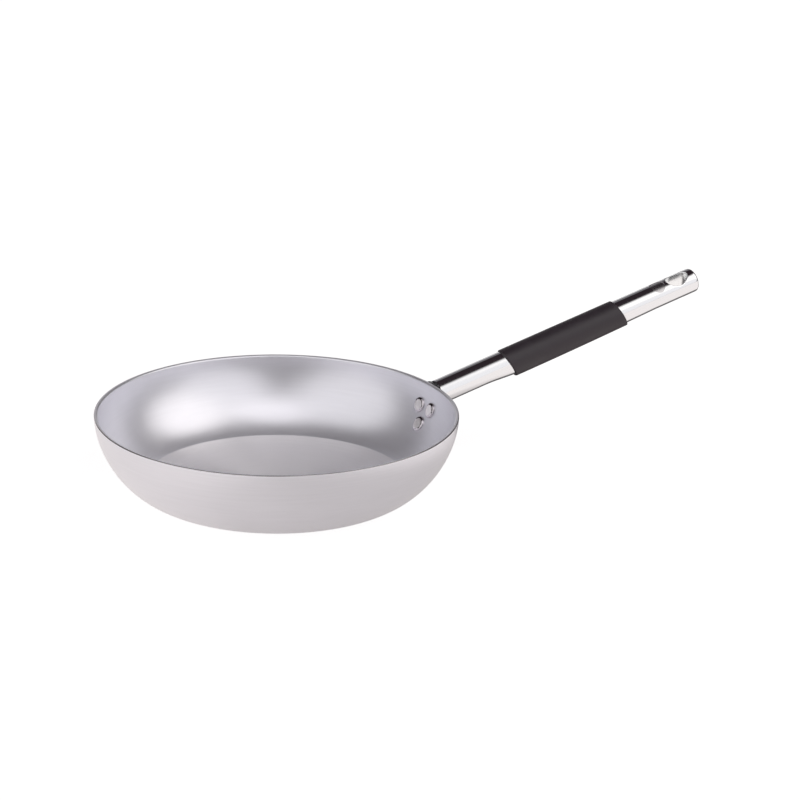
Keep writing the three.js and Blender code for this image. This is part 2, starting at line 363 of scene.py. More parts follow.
@dataclass(frozen=True)
class Finish:
    """A finish: its colour and gloss, and the nodes that give it detail."""

    name: str
    slot: Slot
    colour: Colour
    roughness: float
    metallic: float = 1.0
    edge_tint: Colour = WHITE

    def material(self) -> Material:
        """Gives the finish's material, made once.

        Returns:
            The material with its nodes.
        """
        found = bpy.data.materials.get(self.name)
        if found:
            return found
        made = bpy.data.materials.new(self.name)
        made.use_nodes = True
        coat = Coat(made)
        coat.give("Metallic", self.metallic)
        coat.give("Specular Tint", self.edge_tint)
        self.dress(coat)
        return made

    def dress(self, coat: Coat) -> None:
        """Adds the finish's detail to its material; each finish has its own."""
        raise NotImplementedError

    def shade(self, factor: float) -> Colour:
        """Gives the finish's colour made lighter or darker."""
        red, green, blue, alpha = self.colour
        return (red * factor, green * factor, blue * factor, alpha)


@dataclass(frozen=True)
class TurnedAluminium(Finish):
    """Satin aluminium with fine turning lines, a little brighter where its edges are rubbed."""

    brushed: float = 0.0
    lines: float = 900.0
    breaks: float = 3.0
    line_depth: float = 0.006 * MM
    line_low: float = 0.25
    line_high: float = 0.75
    line_shade: float = 0.97
    smudge_scale: float = 9.0
    smudge_gloss: float = 0.02
    wear_scale: float = 220.0
    wear_shade: float = 1.06
    wear_gloss: float = 0.08

    def dress(self, coat: Coat) -> None:
        """Adds turning lines, uneven wiping and rubbed edges.

        Args:
            coat: The material's nodes.
        """
        turning = TURNING_LINES.on(coat, self.lines, self.breaks)
        smudges = HAND_SMUDGES.on(coat, self.smudge_scale)
        wear = EDGE_WEAR.on(coat, self.wear_scale)
        crests = coat.spread(turning, self.line_low, self.line_high)
        lined = coat.blend(crests, self.shade(self.line_shade), self.colour)
        coat.give("Base Color", coat.blend(wear, lined, self.shade(self.wear_shade)))
        glossy = self.roughness - self.smudge_gloss
        wiped = coat.spread(smudges, 0.0, 1.0, glossy, self.roughness + self.smudge_gloss)
        rubbed = coat.math("MULTIPLY", wear, self.wear_gloss)
        coat.give("Roughness", coat.math("SUBTRACT", wiped, rubbed))
        coat.bump(turning, self.line_depth)
        if self.brushed:
            coat.brush(self.brushed)


@dataclass(frozen=True)
class PolishedSteel(Finish):
    """Mirror polished steel with faint smears."""

    smudge_scale: float = 38.0
    smudge_shade: float = 0.97
    smudge_gloss: float = 0.03
    polish_scale: float = 900.0
    polish_detail: float = 2.0
    polish_depth: float = 0.002 * MM

    def dress(self, coat: Coat) -> None:
        """Adds faint smears and a fine polishing texture.

        Args:
            coat: The material's nodes.
        """
        smudges = HAND_SMUDGES.on(coat, self.smudge_scale)
        coat.give("Base Color", coat.blend(smudges, self.shade(self.smudge_shade), self.colour))
        smeared = self.roughness + self.smudge_gloss
        coat.give("Roughness", coat.spread(smudges, 0.0, 1.0, self.roughness, smeared))
        coat.bump(coat.noise(coat.place, self.polish_scale, self.polish_detail), self.polish_depth)


@dataclass(frozen=True)
class TumbledSteel(Finish):
    """Bright steel with the soft dimples of a pressed and tumbled head."""

    grain_scale: float = 500.0
    grain_depth: float = 0.16 * MM
    wear_scale: float = 400.0
    wear_shade: float = 1.08
    wear_gloss: float = 0.1

    def dress(self, coat: Coat) -> None:
        """Adds small dimples and rubbed edges.

        Args:
            coat: The material's nodes.
        """
        wear = EDGE_WEAR.on(coat, self.wear_scale)
        coat.give("Base Color", coat.blend(wear, self.colour, self.shade(self.wear_shade)))
        rubbed = coat.math("MULTIPLY", wear, self.wear_gloss)
        coat.give("Roughness", coat.math("SUBTRACT", self.roughness, rubbed))
        coat.bump(FINE_GRAIN.on(coat, self.grain_scale), self.grain_depth)


@dataclass(frozen=True)
class MouldedRubber(Finish):
    """Black rubber with a fine moulded grain, greyer where it is rubbed."""

    grain_scale: float = 1500.0
    grain_depth: float = 0.04 * MM
    smudge_scale: float = 45.0
    smudge_dark: float = 0.9
    smudge_light: float = 1.1
    smudge_gloss: float = 0.04
    wear_scale: float = 300.0
    wear_shade: float = 1.6

    def dress(self, coat: Coat) -> None:
        """Adds grain, dull patches and rubbed ends.

        Args:
            coat: The material's nodes.
        """
        smudges = HAND_SMUDGES.on(coat, self.smudge_scale)
        wear = EDGE_WEAR.on(coat, self.wear_scale)
        patched = coat.blend(smudges, self.shade(self.smudge_dark), self.shade(self.smudge_light))
        coat.give("Base Color", coat.blend(wear, patched, self.shade(self.wear_shade)))
        glossy = self.roughness - self.smudge_gloss
        coat.give("Roughness", coat.spread(smudges, 0.0, 1.0, glossy, self.roughness + self.smudge_gloss))
        coat.bump(FINE_GRAIN.on(coat, self.grain_scale), self.grain_depth)


ALUMINIUM = TurnedAluminium("turned_aluminium", Slot.ALUMINIUM, (0.85, 0.85, 0.90, 1.0), 0.33, metallic=0.7)
# The faced floor's brushed gloss is real; its colour, lighter than the side's, is painted light on the
# floor.
FACED_PAINTED_LIGHT = TurnedAluminium("faced_aluminium_painted_light", Slot.ALUMINIUM, (0.97, 0.955, 0.99, 1.0), 0.44,
                        metallic=0.55, brushed=0.95)
# The rim's ground finish is darkened: a painted dark reflection, the line the rim shows of the dark
# ceiling.
RIM_PAINTED_SHADE = TurnedAluminium("ground_rim_painted_shade", Slot.ALUMINIUM, (0.48, 0.47, 0.49, 1.0), 0.16)
STEEL = PolishedSteel("polished_steel", Slot.POLISHED_STEEL, (0.86, 0.86, 0.87, 1.0), 0.04,
                      edge_tint=(0.2, 0.2, 0.2, 1.0))
ETCHED = PolishedSteel("etched_steel", Slot.POLISHED_STEEL, (0.55, 0.54, 0.55, 1.0), 0.26)
# The hang hole's bore is near white: painted light inside the hole.
BORED_PAINTED_LIGHT = PolishedSteel("bored_steel_painted_light", Slot.POLISHED_STEEL, (0.97, 0.99, 1.0, 1.0), 0.2, metallic=0.9)
RIVET_STEEL = TumbledSteel("tumbled_steel", Slot.RIVET_STEEL, (0.96, 0.93, 0.94, 1.0), 0.26, metallic=0.6)
# The ring's crisp gloss is real; its darker colour is painted shade, the dark outline round each rivet
# head.
BURNISHED_PAINTED_SHADE = TumbledSteel("burnished_steel_painted_shade", Slot.RIVET_STEEL, (0.60, 0.57, 0.60, 1.0), 0.08)
RUBBER = MouldedRubber("moulded_rubber", Slot.BLACK_RUBBER, (0.031, 0.0235, 0.030, 1.0), 0.5, metallic=0.0)
BOWL_FINISHES = (ALUMINIUM, RIM_PAINTED_SHADE, FACED_PAINTED_LIGHT)
RIVET_FINISHES = (RIVET_STEEL, BURNISHED_PAINTED_SHADE)


# Mesh helpers


def pick(items: Iterable[object], kind: type) -> list:
    """Picks the items of one kind out of a mixed list."""
    return [item for item in items if isinstance(item, kind)]


def where(items: Iterable[BMEdge | BMFace], test: Callable[[Vector], bool]) -> list:
    """Picks the edges or faces whose points all pass a test."""
    return [item for item in items if all(test(vert.co) for vert in item.verts)]


def even_shares(steps: int) -> list[float]:
    """Lists the shares from 0 to 1 in even steps."""
    return [step / steps for step in range(steps + 1)]


def quarter_arc(steps: int) -> list[tuple[float, float]]:
    """Lists the points of a quarter of a circle of radius 1, from its side to its top."""
    angles = [RIGHT_ANGLE * step / steps for step in range(steps + 1)]
    return [(math.cos(angle), math.sin(angle)) for angle in angles]


def share_between(value: float, start: float, end: float) -> float:
    """Gives how far a value is from a start to an end, between 0 and 1."""
    return min(max((value - start) / (end - start), 0.0), 1.0)


def weld(shape: BMesh) -> None:
    """Joins points that lie on each other and turns the faces outward."""
    bmesh.ops.remove_doubles(shape, verts=shape.verts, dist=WELD)
    bmesh.ops.recalc_face_normals(shape, faces=shape.faces)


def to_object(shape: BMesh, name: str, *materials: Material) -> Object:
    """Makes an object of a shape and puts it in the scene.

    Args:
        shape: The finished shape, which is freed.
        name: The object's name.
        materials: Its materials in order.

    Returns:
        The object.
    """
    mesh = bpy.data.meshes.new(name)
    shape.to_mesh(mesh)
    shape.free()
    for material in materials:
        mesh.materials.append(material)
    thing = bpy.data.objects.new(name, mesh)
    bpy.context.scene.collection.objects.link(thing)
    return thing


@dataclass
class Piece:
    """A finished piece: its mesh becomes an object that stands for a node of the frame."""

    name: str
    node: str
    finishes: tuple[Finish, ...]
    sharp: float = math.radians(32)

    def settle(self, shape: BMesh) -> Object:
        """Closes the mesh, turns its faces outward, dresses it and puts it on the frame.

        Args:
            shape: The finished shape, which is freed.

        Returns:
            The piece's object.
        """
        weld(shape)
        thing = to_object(shape, self.name, *(finish.material() for finish in self.finishes))
        self.shade(thing)
        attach(thing, BODY)
        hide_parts(self.node)
        LOG.info("%s: %d faces", self.name, len(thing.data.polygons))
        return thing

    def shade(self, thing: Object) -> None:
        """Shades the piece smooth, with crisp edges where faces meet at an angle."""
        thing.data.shade_smooth()
        thing.data.set_sharp_from_angle(angle=self.sharp)


def string_points(shape: BMesh, points: Sequence[Vector]) -> None:
    """Draws an open line of edges through the points.

    Args:
        shape: Where the line goes.
        points: The line's points in order.
    """
    verts = [shape.verts.new(point) for point in points]
    for first, second in zip(verts, verts[1:]):
        shape.edges.new((first, second))


def revolve(shape: BMesh, steps: int) -> None:
    """Spins the line in the shape once round the Z axis and closes its poles.

    Args:
        shape: The line, which becomes a closed surface.
        steps: How many parts the turn has.
    """
    line = shape.verts[:] + shape.edges[:]
    bmesh.ops.spin(shape, geom=line, cent=(0, 0, 0), axis=UP, angle=FULL_TURN, steps=steps,
                   use_merge=True, use_duplicate=False)
    weld(shape)


def round_edges(shape: BMesh, edges: Sequence[BMEdge], size: float, steps: int) -> None:
    """Rounds some edges.

    Args:
        shape: The shape they are in.
        edges: The edges.
        size: How far from the edge the round starts.
        steps: How many parts the round has.
    """
    bmesh.ops.bevel(shape, geom=edges, offset=size, offset_type="OFFSET", affect="EDGES", segments=steps,
                    profile=ROUND_PROFILE, material=-1, clamp_overlap=True)


def slice_at(shape: BMesh, way: Vector, level: float, clear: bool = False) -> None:
    """Cuts a shape's faces along a plane.

    Args:
        shape: The shape.
        way: The direction the plane faces.
        level: How far the plane is from the origin.
        clear: Whether what lies beyond the plane is removed.
    """
    bmesh.ops.bisect_plane(shape, geom=shape.verts[:] + shape.edges[:] + shape.faces[:],
                           plane_co=way * level, plane_no=way, clear_outer=clear)


def grow_ring(shape: BMesh, loop: Sequence[BMEdge]) -> tuple[list[BMVert], list[BMEdge]]:
    """Grows a band of faces from a ring of edges.

    Args:
        shape: The shape the ring is in.
        loop: The ring's edges.

    Returns:
        The points and the edges of the new ring.
    """
    grown = bmesh.ops.extrude_edge_only(shape, edges=loop)["geom"]
    ring = pick(grown, BMVert)
    around = set(ring)
    return ring, [edge for edge in pick(grown, BMEdge) if set(edge.verts) <= around]


def draw_out(shape: BMesh, sides: int, rings: Sequence[Ring],
             place: Callable[[Ring, float], Vector]) -> list[list[BMEdge]]:
    """Draws a tube out ring by ring from a circle.

    Args:
        shape: Where the tube goes.
        sides: How many sides a ring has.
        rings: What each ring is placed by.
        place: Gives a point from its ring and the angle round it.

    Returns:
        The edges of each ring.
    """
    turn = shape.verts.layers.float.new("turn")
    verts = bmesh.ops.create_circle(shape, segments=sides, radius=1.0)["verts"]
    for vert in verts:
        vert[turn] = math.atan2(vert.co.y, vert.co.x)
    loops = [shape.edges[:]]
    for number, ring in enumerate(rings):
        if number:
            verts, loop = grow_ring(shape, loops[-1])
            loops.append(loop)
        for vert in verts:
            vert.co = place(ring, vert[turn])
    return loops


def bisect(low: float, high: float, below: Callable[[float], bool]) -> float:
    """Finds where a condition stops being true.

    Args:
        low: A value for which it is true.
        high: A value for which it is false.
        below: The condition.

    Returns:
        The value between them where it changes.
    """
    for _ in range(BISECT_STEPS):
        middle = (low + high) / 2
        if below(middle):
            low = middle
        else:
            high = middle
    return low


# Pan


@dataclass(frozen=True)
class Side:
    """The bowl's curved outer side, which the wall, the flange and the rivets are measured from."""

    rim_radius: float = 140 * MM
    height: float = 63.5 * MM
    base_radius: float = 86 * MM
    base_reach: float = 31 * MM
    rim_reach: float = 26.5 * MM
    wall: float = 3 * MM
    flange_face: float = 2.3 * MM

    def point(self, share: float, offset: float = 0.0) -> Vector:
        """Gives a point of the side, moved out along its normal.

        Args:
            share: How far up the side, from 0 at the base to 1 at the rim.
            offset: How far outward.

        Returns:
            The point in the XZ plane.
        """
        start = Vector((self.base_radius, 0.0))
        lean = Vector((self.base_radius + self.base_reach, 0.0))
        rise = Vector((self.rim_radius, self.height - self.rim_reach))
        end = Vector((self.rim_radius, self.height))
        left = 1.0 - share
        place = left**3 * start + 3 * left**2 * share * lean + 3 * left * share**2 * rise + share**3 * end
        way = left**2 * (lean - start) + 2 * left * share * (rise - lean) + share**2 * (end - rise)
        way.normalize()
        return Vector((place.x + way.y * offset, 0.0, place.y - way.x * offset))

    def share_at(self, height: float, offset: float = 0.0) -> float:
        """Finds how far up the side a height is."""
        return bisect(0.0, 1.0, lambda share: self.point(share, offset).z < height)

    def radius_at(self, height: float, offset: float = 0.0) -> float:
        """Finds the radius at a height; above the rim it stays as it is at the rim.

        Args:
            height: The height above the base.
            offset: How far outside the side.

        Returns:
            The distance from the pan's axis.
        """
        if height >= self.height:
            return self.rim_radius + offset
        return self.point(self.share_at(height, offset), offset).x

    def seat(self, depth: float, across: float) -> Matrix:
        """Finds a place on the outer side and the turn that points Z out of it.

        Args:
            depth: How far below the rim.
            across: How far to the handle's left.

        Returns:
            The matrix from the seat to the pan.
        """
        share = self.share_at(self.height - depth)
        point = self.point(share)
        way = self.point(share, 1.0) - point
        bearing = Matrix.Rotation(math.asin(across / point.x), 4, "Z")
        turn = way.to_track_quat("Z", "Y").to_matrix().to_4x4()
        return bearing @ Matrix.Translation(point) @ turn


@dataclass
class PanBody:
    """The bowl: a flat base, a curved flaring side and a level rim with eased edges."""

    side: Side
    rim_outer_round: float = 0.6 * MM
    rim_inner_round: float = 1.9 * MM
    rim_steps: int = 6
    floor_edge: float = 7.5 * MM
    floor_facing: float = 0.5
    under_facing: float = -0.999
    side_steps: int = 48
    turn_steps: int = 256

    def build(self) -> Object:
        """Spins the wall's outline and eases the rim.

        Returns:
            The bowl's object.
        """
        shares = even_shares(self.side_steps)
        outside = [self.side.point(share) for share in shares]
        inside = [self.side.point(share, -self.side.wall) for share in reversed(shares)]
        shape = bmesh.new()
        string_points(shape, [Vector((0, 0, 0)), *outside, *inside, UP * self.side.wall])
        revolve(shape, self.turn_steps)
        self.ease_rim(shape)
        self.mark_rim(shape)
        self.mark_floor(shape)
        return Piece("pan_body_turned", "pan_body", BOWL_FINISHES).settle(shape)

    def ease_rim(self, shape: BMesh) -> None:
        """Rounds the rim's two edges, the inner one more.

        Args:
            shape: The bowl's shape.
        """
        middle = self.side.rim_radius - self.side.wall / 2
        top = self.side.height - EDGE_SLACK
        level = where(shape.edges, lambda point: point.z > top)
        outer = where(level, lambda point: point.xy.length > middle)
        inner = where(level, lambda point: point.xy.length < middle)
        round_edges(shape, outer, self.rim_outer_round, self.rim_steps)
        round_edges(shape, inner, self.rim_inner_round, self.rim_steps)

    def mark_rim(self, shape: BMesh) -> None:
        """Gives the top of the rim its ground finish, darkened as a painted dark reflection along the rim.

        Args:
            shape: The bowl's shape.
        """
        low = self.side.height - self.rim_outer_round - EDGE_SLACK
        near = self.side.rim_radius - self.side.wall + self.rim_inner_round - EDGE_SLACK
        for face in where(shape.faces, lambda point: point.z > low and point.xy.length > near):
            face.material_index = BOWL_FINISHES.index(RIM_PAINTED_SHADE)

    def mark_floor(self, shape: BMesh) -> None:
        """Gives the flat floor and the underside their faced finish, partly painted light: its lighter,
        more matt colour stands in for the light on the floor.

        Args:
            shape: The bowl's shape.
        """
        shape.normal_update()
        for face in where(shape.faces, lambda point: point.z < self.floor_edge):
            if not self.under_facing <= face.normal.z <= self.floor_facing:
                face.material_index = BOWL_FINISHES.index(FACED_PAINTED_LIGHT)


@dataclass
class Rivet:
    """A rivet: a low round head inside the pan, a shank and a smaller clenched tail outside."""

    side: Side
    name: str
    depth: float
    across: float
    shank_radius: float = 2.8 * MM
    head_radius: float = 6.1 * MM
    head_height: float = 1.7 * MM
    head_flat: float = 4.0 * MM
    head_ring: float = 4.05 * MM
    tail_radius: float = 4.2 * MM
    tail_height: float = 2.0 * MM
    tail_flat: float = 2.0 * MM
    edge_share: float = 0.5
    crown_shares: tuple[float, ...] = (0.97, 0.5, 0.0)
    dome_steps: int = 10
    turn_steps: int = 64

    def dome(self, radius: float, flat: float, foot: float, top: float) -> list[Vector]:
        """Draws half a head's outline, from its foot to the middle of its crown.

        Args:
            radius: The head's radius.
            flat: The radius of the flat crown.
            foot: The height of the foot.
            top: The height of the crown.

        Returns:
            The points of the outline.
        """
        rim = foot + (top - foot) * self.edge_share
        arc = [Vector((flat + (radius - flat) * out, 0.0, rim + (top - rim) * up))
               for out, up in quarter_arc(self.dome_steps)]
        crown = [Vector((flat * share, 0.0, top)) for share in self.crown_shares]
        return [Vector((radius, 0.0, foot)), *arc, *crown]

    def build(self) -> Object:
        """Spins the rivet's outline and seats it in the wall.

        Returns:
            The rivet's object.
        """
        inner = -self.side.wall
        outer = self.side.flange_face
        head = self.dome(self.head_radius, self.head_flat, inner, inner - self.head_height)
        tail = self.dome(self.tail_radius, self.tail_flat, outer, outer + self.tail_height)
        shank = [Vector((self.shank_radius, 0.0, height)) for height in (inner, outer)]
        shape = bmesh.new()
        string_points(shape, [*reversed(head), *shank, *tail])
        revolve(shape, self.turn_steps)
        self.mark_ring(shape)
        bmesh.ops.transform(shape, matrix=self.side.seat(self.depth, self.across), verts=shape.verts)
        return Piece(f"{self.name}_tumbled", self.name, RIVET_FINISHES).settle(shape)

    def mark_ring(self, shape: BMesh) -> None:
        """Gives the ring round the head's crown its burnished finish, whose darker colour is painted shade,
        the dark outline round the head.

        Args:
            shape: The rivet's shape in its own frame.
        """
        for face in where(shape.faces, lambda point: point.xy.length > self.head_ring):
            face.material_index = RIVET_FINISHES.index(BURNISHED_PAINTED_SHADE)


# Handle


@dataclass(frozen=True)
class HandleAxis:
    """The handle's own frame: X along the tube from the rim's radius, Z up across it."""

    side: Side
    tilt: float = math.radians(13.6)
    turn: float = math.radians(18)
    depth: float = 9 * MM
    search_start: float = -40 * MM
    search_end: float = 20 * MM

    def matrix(self) -> Matrix:
        """Gives the matrix from the handle's frame to the pan's."""
        start = Vector((self.side.rim_radius, 0.0, self.side.height - self.depth))
        return Matrix.Translation(start) @ Matrix.Rotation(-self.tilt, 4, "Y")

    def meets_flange(self, place: Callable[[float], Vector]) -> float:
        """Finds where a line along the tube meets the flange's face.

        Args:
            place: Gives a point in the handle's frame from the length along it.

        Returns:
            The length along the tube.
        """
        frame = self.matrix()

        def inside(along: float) -> bool:
            """Tells whether the point is still nearer the bowl."""
            point = frame @ place(along)
            return point.xy.length < self.side.radius_at(point.z, self.side.flange_face)

        return bisect(self.search_start, self.search_end, inside)


@dataclass
class HandleFlange:
    """The shield plate that is riveted to the bowl and carries the tube."""

    axis: HandleAxis
    rivet_spacing: float = 16.6 * MM
    upper_depth: float = 19.8 * MM
    lower_depth: float = 33 * MM
    gap: float = 0.1 * MM
    tube_lip: float = 11.2 * MM
    shoulder: float = 8.5 * MM
    foot: float = 9 * MM
    edge_angle: float = math.radians(50)
    edge_round: float = 0.5 * MM
    edge_steps: int = 3
    mesh_size: float = 1.6 * MM
    arc_steps: int = 40

    def circles(self) -> list[tuple[Vector, float]]:
        """Gives the circles that the outline wraps, seen from outside along -X.

        Returns:
            Centres as Y and Z, with their radii.
        """
        side = self.axis.side
        face = side.flange_face
        seat = side.height - self.axis.depth + face * math.tan(self.axis.tilt)
        upper = side.point(side.share_at(side.height - self.upper_depth), face).z
        lower = side.point(side.share_at(side.height - self.lower_depth), face).z
        half = self.rivet_spacing / 2
        return [
            (Vector((0.0, seat)), self.tube_lip),
            (Vector((-half, upper)), self.shoulder),
            (Vector((0.0, lower)), self.foot),
            (Vector((half, upper)), self.shoulder),
        ]

    def outline(self, shape: BMesh) -> None:
        """Lays the circles' points out flat and draws the plate tight round them.

        Args:
            shape: Where the plate's flat face goes.
        """
        for centre, radius in self.circles():
            place = Matrix.Translation((0.0, centre.x, centre.y)) @ Matrix.Rotation(RIGHT_ANGLE, 4, "Y")
            bmesh.ops.create_circle(shape, segments=self.arc_steps, radius=radius, matrix=place)
        hull = bmesh.ops.convex_hull(shape, input=shape.verts)
        bmesh.ops.delete(shape, geom=hull["geom_interior"] + hull["geom_unused"], context="VERTS")
        bmesh.ops.dissolve_faces(shape, faces=shape.faces)

    def cut_up(self, shape: BMesh) -> None:
        """Cuts the flat plate at the rim and into small faces that can follow the bowl.

        Args:
            shape: The plate.
        """
        top = self.axis.side.height
        slice_at(shape, UP, top, clear=True)
        low = min(vert.co.z for vert in shape.verts)
        wide = max(vert.co.y for vert in shape.verts)
        for way, start, end in ((UP, low, top), (ACROSS, -wide, wide)):
            count = round((end - start) / self.mesh_size)
            for step in range(1, count):
                slice_at(shape, way, start + (end - start) * step / count)

    def build(self) -> Object:
        """Bends the flat plate to the bowl and gives it its thickness and soft edges.

        Returns:
            The flange's object.
        """
        shape = bmesh.new()
        self.outline(shape)
        self.cut_up(shape)
        grown = bmesh.ops.extrude_face_region(shape, geom=shape.faces[:], use_keep_orig=True)["geom"]
        front = set(pick(grown, BMVert))
        side = self.axis.side
        for vert in shape.verts:
            radius = side.radius_at(vert.co.z, side.flange_face if vert in front else self.gap)
            vert.co.x = math.sqrt(radius**2 - vert.co.y**2)
        bmesh.ops.recalc_face_normals(shape, faces=shape.faces)
        facing = [edge for edge in shape.edges if front.issuperset(edge.verts) and edge.is_manifold]
        edges = [edge for edge in facing if edge.calc_face_angle() > self.edge_angle]
        round_edges(shape, edges, self.edge_round, self.edge_steps)
        return Piece("handle_flange_pressed", "handle_flange", (STEEL,)).settle(shape)


@dataclass
class HandleTube:
    """The polished tube, bellied below under the sleeve, with a hang hole and a plain stamp in its tip."""

    axis: HandleAxis
    radius: float = 10 * MM
    wall: float = 1.5 * MM
    length: float = 257.5 * MM
    end_round: float = 2.5 * MM
    belly_depth: float = 2 * MM
    belly_start: float = 46 * MM
    belly_full: float = 78 * MM
    belly_end: float = 214 * MM
    hole_length: float = 19.8 * MM
    hole_width: float = 13.8 * MM
    hole_centre: float = 17.5 * MM
    hole_lip: float = 1.1 * MM
    lip_lift: float = 0.02 * MM
    stamp_radius: float = 6.6 * MM
    stamp_depth: float = 0.35 * MM
    stamp_centre: float = 36.8 * MM
    stamp_cuts: int = 10
    sides: int = 128
    first_step: int = 4
    steps: int = 150
    end_steps: int = 8
    lip_steps: int = 8
    cut_sides: int = 96

    def belly(self, along: float) -> float:
        """Gives how far the belly hangs below the round tube.

        Args:
            along: The length along the tube.

        Returns:
            The depth under the round tube.
        """
        rise = share_between(along, self.belly_start, self.belly_full)
        fade = share_between(along, self.belly_full, self.belly_end)
        return self.belly_depth * rise**2 * (3 - 2 * rise) * (1 - fade**2)

    def skin(self, along: float, turn: float, top: float, side: float, under: float) -> Vector:
        """Gives a point on or round the tube.

        Args:
            along: The length along the tube.
            turn: The angle round it, from its left side upward.
            top: How far outside the tube on top.
            side: How far outside at the sides.
            under: How far outside below.

        Returns:
            The point in the handle's frame.
        """
        up = math.sin(turn)
        height = self.radius + top if up > 0 else self.radius + self.belly(along) + under
        return Vector((along, (self.radius + side) * math.cos(turn), height * up))

    def stations(self) -> list[Ring]:
        """Lists the rings from the inside end back to the pan and out to the rounded tip.

        Returns:
            Lengths along the tube and insets; a length of 0 is where the tube meets the flange.
        """
        straight = self.length - self.end_round
        hollow = self.length - self.hole_centre - self.hole_length / 2 - self.wall
        rings = [(along, self.wall) for along in (hollow, hollow / 2, 0.0)]
        rings.append((0.0, 0.0))
        rings += [(straight * step / self.steps, 0.0) for step in range(self.first_step, self.steps + 1)]
        for out, up in quarter_arc(self.end_steps)[1:]:
            rings.append((straight + self.end_round * up, self.end_round * (1 - out)))
        return rings

    def place(self, ring: Ring, turn: float) -> Vector:
        """Places a point of a ring; the rings at the pan follow the flange's face.

        Args:
            ring: The ring's length along the tube and inset.
            turn: The angle round it.

        Returns:
            The point in the handle's frame.
        """
        along, inset = ring

        def line(length: float) -> Vector:
            """Gives the point at a length along this side of the tube."""
            return self.skin(length, turn, -inset, -inset, -inset)

        return line(along or self.axis.meets_flange(line))

    def build(self) -> Object:
        """Draws the tube out, closes its ends, cuts the hang hole and sinks the stamp.

        Returns:
            The tube's object.
        """
        shape = bmesh.new()
        loops = draw_out(shape, self.sides, self.stations(), self.place)
        for end in (loops[0], loops[-1]):
            bmesh.ops.edgeloop_fill(shape, edges=end)
        bmesh.ops.transform(shape, matrix=self.axis.matrix(), verts=shape.verts)
        piece = Piece("handle_tube_polished", "handle_tube", (STEEL,))
        tube = piece.settle(shape)
        self.cut(tube, self.hang_hole())
        self.cut(tube, self.stamp())
        piece.shade(tube)
        return tube

    def tip_frame(self, from_end: float) -> Matrix:
        """Gives the frame of a mark near the tip, turned a little to the right side."""
        turn = Matrix.Rotation(self.axis.turn, 4, "X")
        return self.axis.matrix() @ turn @ Matrix.Translation((self.length - from_end, 0.0, 0.0))

    def lip_point(self, ring: Ring, turn: float) -> Vector:
        """Gives a point of the hang hole's rounded lip.

        Args:
            ring: A share, from 0 on the skin to 1 on the hole's wall, and 1 for the upper lip or -1.
            turn: The angle round the hole.

        Returns:
            The point in the hole's frame.
        """
        share, end = ring

        def rim(grow: float, sink: float) -> Vector:
            """Gives a point on the skin round the hole, or sunk below it.

            Args:
                grow: How far outside the hole's edge.
                sink: How far below the skin.

            Returns:
                The point in the hole's frame.
            """
            along = (self.hole_length / 2 + grow) * math.cos(turn)
            across = (self.hole_width / 2 + grow) * math.sin(turn)
            return Vector((along, across, end * (math.sqrt(self.radius**2 - across**2) - sink)))

        left = 1.0 - share
        outer = rim(self.hole_lip, -self.lip_lift)
        return left**2 * outer + 2 * left * share * rim(0.0, 0.0) + share**2 * rim(0.0, self.hole_lip)

    def hang_hole(self) -> Object:
        """Makes the oval bar that cuts the hang hole and rounds its lips.

        Returns:
            The cutter.
        """
        shares = even_shares(self.lip_steps)
        rings = [(share, 1.0) for share in shares] + [(share, -1.0) for share in reversed(shares)]
        shape = bmesh.new()
        loops = draw_out(shape, self.cut_sides, rings, self.lip_point)
        for loop, reach in ((loops[0], self.radius), (loops[-1], -self.radius)):
            verts, edges = grow_ring(shape, loop)
            bmesh.ops.translate(shape, vec=UP * reach, verts=verts)
            bmesh.ops.edgeloop_fill(shape, edges=edges)
        # The hole's faces take the near-white bore finish: painted light.
        return self.cutter(shape, self.hole_centre, BORED_PAINTED_LIGHT)

    def stamp(self) -> Object:
        """Makes the curved disc that sinks the plain stamp evenly under the skin.

        Returns:
            The cutter.
        """
        shape = bmesh.new()
        bmesh.ops.create_circle(shape, segments=self.cut_sides, radius=self.stamp_radius, cap_ends=True)
        for step in range(1 - self.stamp_cuts, self.stamp_cuts):
            slice_at(shape, ACROSS, self.stamp_radius * step / self.stamp_cuts)
        floor = shape.verts[:]
        top = bmesh.ops.extrude_face_region(shape, geom=shape.faces[:], use_keep_orig=True)["geom"]
        bmesh.ops.translate(shape, vec=UP * 2 * self.radius, verts=pick(top, BMVert))
        for vert in floor:
            vert.co.z = math.sqrt((self.radius - self.stamp_depth)**2 - vert.co.y**2)
        return self.cutter(shape, self.stamp_centre, ETCHED)

    def cutter(self, shape: BMesh, from_end: float, finish: Finish) -> Object:
        """Makes a cutting object out of a shape.

        Args:
            shape: The cutter's shape in the mark's own frame, which is freed.
            from_end: How far the mark is from the tip.
            finish: The finish of the faces that it cuts.

        Returns:
            The cutter.
        """
        bmesh.ops.transform(shape, matrix=self.tip_frame(from_end), verts=shape.verts)
        bmesh.ops.recalc_face_normals(shape, faces=shape.faces)
        return to_object(shape, "cutter", finish.material())

    @staticmethod
    def cut(tube: Object, tool: Object) -> None:
        """Cuts a tool's shape out of the tube and removes the tool.

        Args:
            tube: The tube's object.
            tool: The cutter's object.
        """
        change = tube.modifiers.new("cut", "BOOLEAN")
        change.operation = "DIFFERENCE"
        change.solver = "EXACT"
        change.material_mode = "TRANSFER"
        change.object = tool
        seen = tube.evaluated_get(bpy.context.evaluated_depsgraph_get())
        mesh = bpy.data.meshes.new_from_object(seen)
        tube.modifiers.clear()
        tube.data = mesh
        bpy.data.objects.remove(tool)


